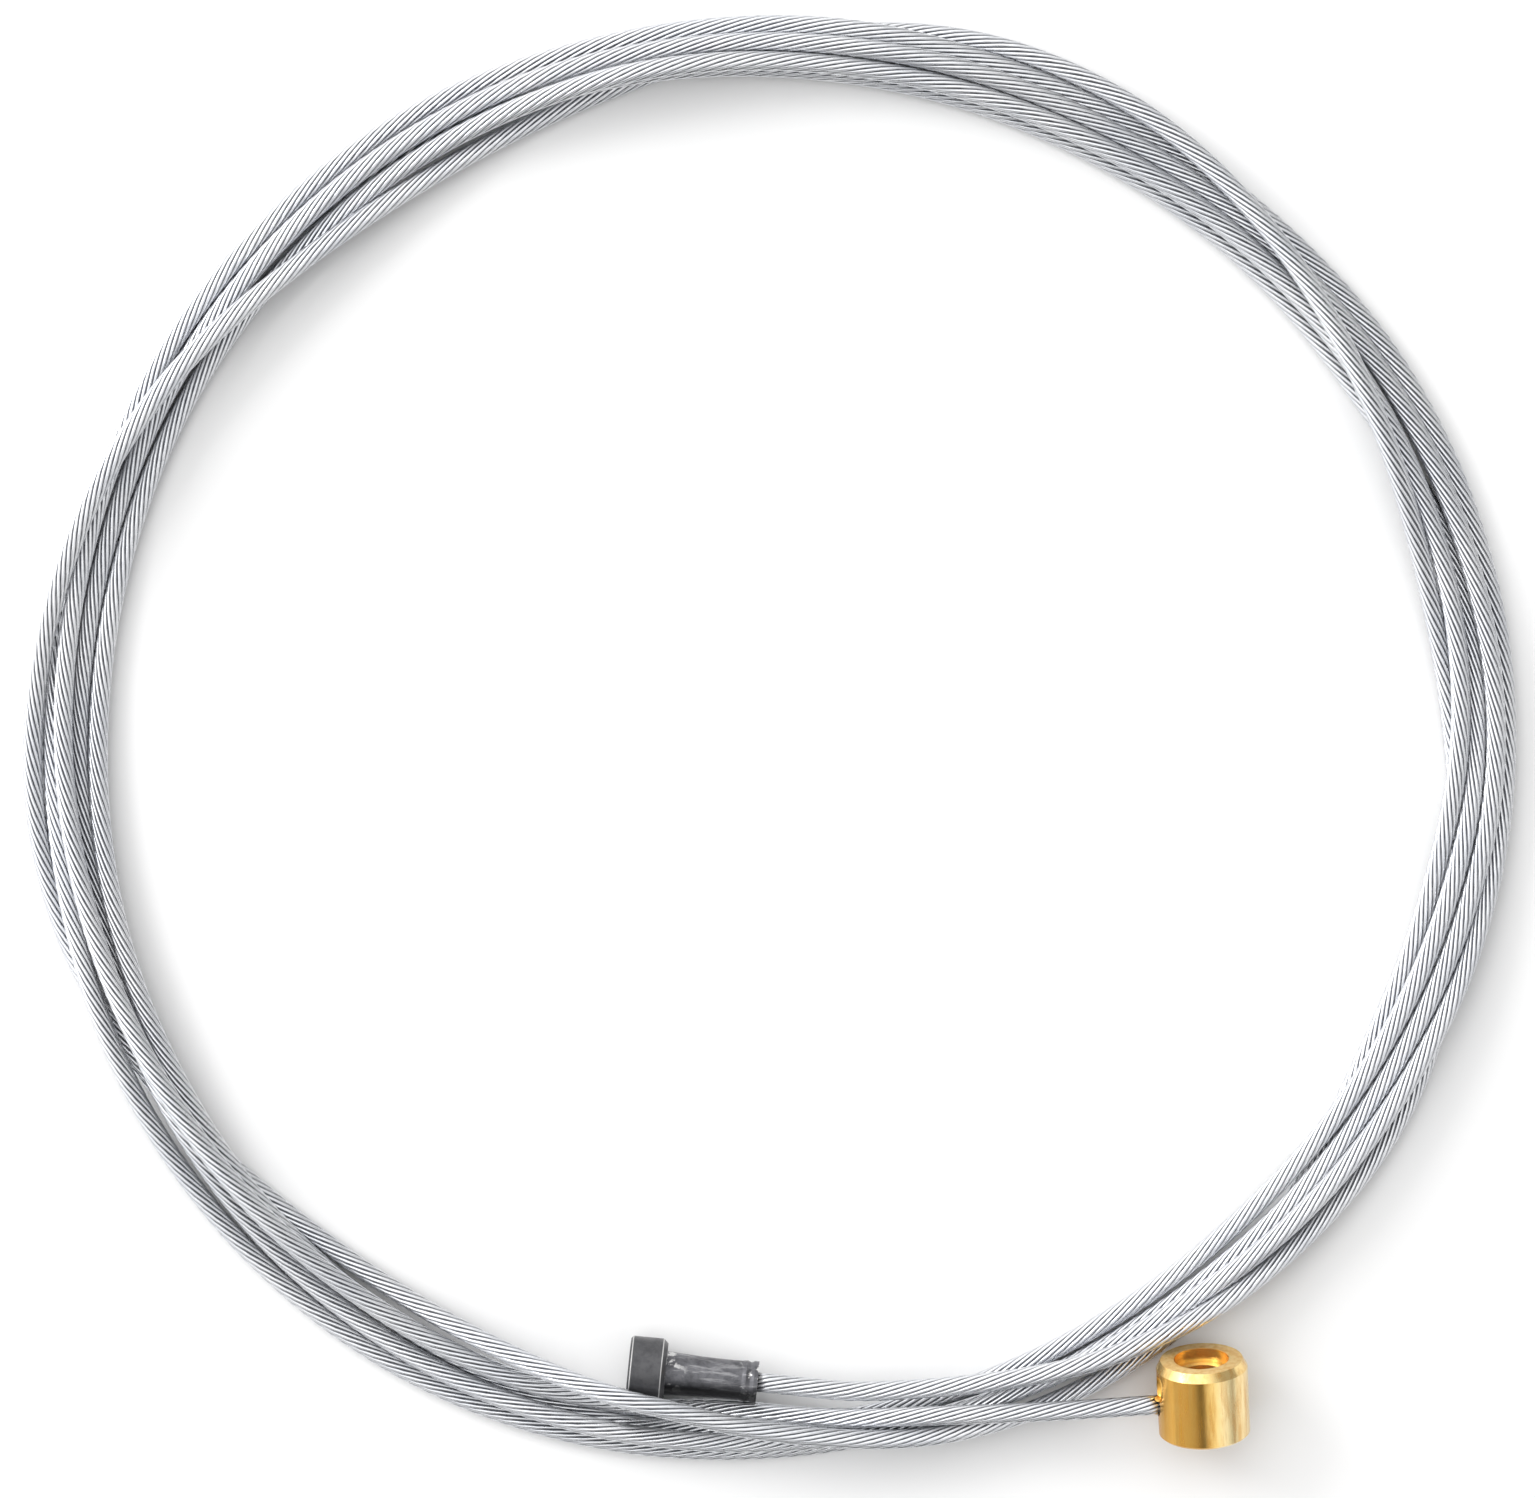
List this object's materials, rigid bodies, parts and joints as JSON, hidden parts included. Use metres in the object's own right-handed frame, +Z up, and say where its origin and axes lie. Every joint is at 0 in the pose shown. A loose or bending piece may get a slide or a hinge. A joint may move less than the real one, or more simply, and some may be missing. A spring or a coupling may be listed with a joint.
{
  "type": "control cable",
  "caption": "Coiled single-strand wire rope with a bored brass barrel on one end and a black headed stud on the other.",
  "frame": {"origin": "middle of the coil, on the surface that it lies on", "axes": "+Z up through the coil, +X towards the barrel's side, the fittings lie at -Y"},
  "size_m": [0.1116, 0.1116, 0.0079],
  "materials": {
    "rope_steel": "bright stranded wire",
    "wire_steel": "bright drawn wire",
    "barrel_brass": "turned brass",
    "solder": "dull solder",
    "stud_black": "black oxide, worn on the shank"
  },
  "bodies": {
    "root": {"barrel": "barrel_brass", "solder": "solder", "stud": "stud_black", "coil": "rope_steel", "stud_tail": "rope_steel", "barrel_tail": "rope_steel", "core_wire": "wire_steel", "inner_wire_01": "wire_steel", "inner_wire_02": "wire_steel", "inner_wire_03": "wire_steel", "inner_wire_04": "wire_steel", "inner_wire_05": "wire_steel", "inner_wire_06": "wire_steel", "outer_wire_01": "wire_steel", "outer_wire_02": "wire_steel", "outer_wire_03": "wire_steel", "outer_wire_04": "wire_steel", "outer_wire_05": "wire_steel", "outer_wire_06": "wire_steel", "outer_wire_07": "wire_steel", "outer_wire_08": "wire_steel", "outer_wire_09": "wire_steel", "outer_wire_10": "wire_steel", "outer_wire_11": "wire_steel", "outer_wire_12": "wire_steel"}
  },
  "joints": []
}
